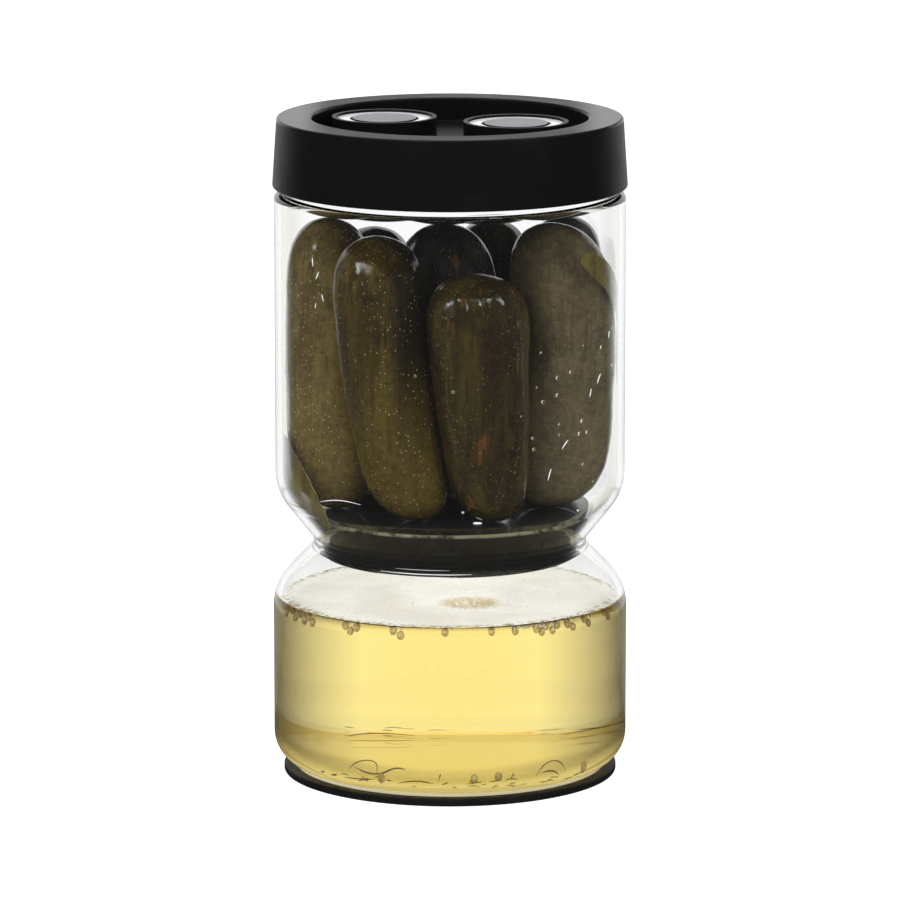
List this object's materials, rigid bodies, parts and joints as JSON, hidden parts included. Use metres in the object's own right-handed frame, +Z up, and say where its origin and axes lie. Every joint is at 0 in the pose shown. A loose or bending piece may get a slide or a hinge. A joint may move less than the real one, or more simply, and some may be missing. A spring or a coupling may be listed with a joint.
{
  "type": "pickle jar with strainer",
  "caption": "Hourglass glass jar of gherkins standing over yellow brine, with a black strainer plug in its waist, a black screw lid with round dials and a black base pad.",
  "frame": {"origin": "centre of the pad's underside, where the jar stands", "axes": "+Z up through the lid, -Y towards the front, +X to the right seen from the front"},
  "size_m": [0.1, 0.1, 0.187],
  "materials": {
    "glass": "clear, polished",
    "pad_silicone": "satin",
    "strainer_plastic": "gloss, wet",
    "lid_plastic": "fine satin",
    "seal_rubber": "satin",
    "dial_plastic": "gloss ring, satin centre",
    "brine": "clear liquid",
    "gherkin_skin": "wet, glossy"
  },
  "bodies": {
    "root": {"glass_jar": "glass", "base_pad": "pad_silicone", "strainer": "strainer_plastic", "lid_cap": "lid_plastic", "lid_seal": "seal_rubber", "dial_left": "dial_plastic", "dial_right": "dial_plastic", "brine": "brine", "gherkin_1": "gherkin_skin", "gherkin_2": "gherkin_skin", "gherkin_3": "gherkin_skin", "gherkin_4": "gherkin_skin", "gherkin_5": "gherkin_skin", "gherkin_6": "gherkin_skin", "gherkin_7": "gherkin_skin", "gherkin_8": "gherkin_skin"}
  },
  "joints": []
}
